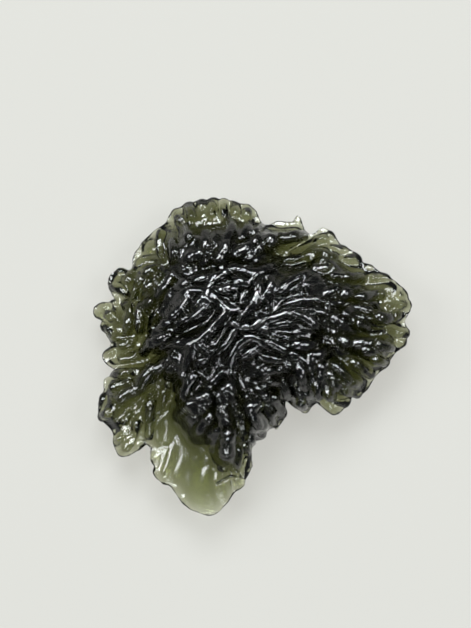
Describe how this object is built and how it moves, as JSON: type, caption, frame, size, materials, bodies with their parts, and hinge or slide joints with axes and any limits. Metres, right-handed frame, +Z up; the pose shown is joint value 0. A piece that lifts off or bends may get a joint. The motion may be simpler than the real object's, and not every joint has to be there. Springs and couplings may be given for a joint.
{
  "type": "moldavite",
  "caption": "Natural moldavite, a leaf-shaped lump of green glass with spreading ridges, thin see-through lobes and a smooth tongue, lying on a small flat spot.",
  "frame": {"origin": "bottom centre of the box around the stone, on the surface it lies on", "axes": "+X to the broad right lobe, +Y away from the tongue, +Z up through the carved face"},
  "size_m": [0.0254, 0.0254, 0.0089],
  "materials": {
    "green_glass": "gloss"
  },
  "bodies": {
    "root": {"moldavite": "green_glass"}
  },
  "joints": []
}
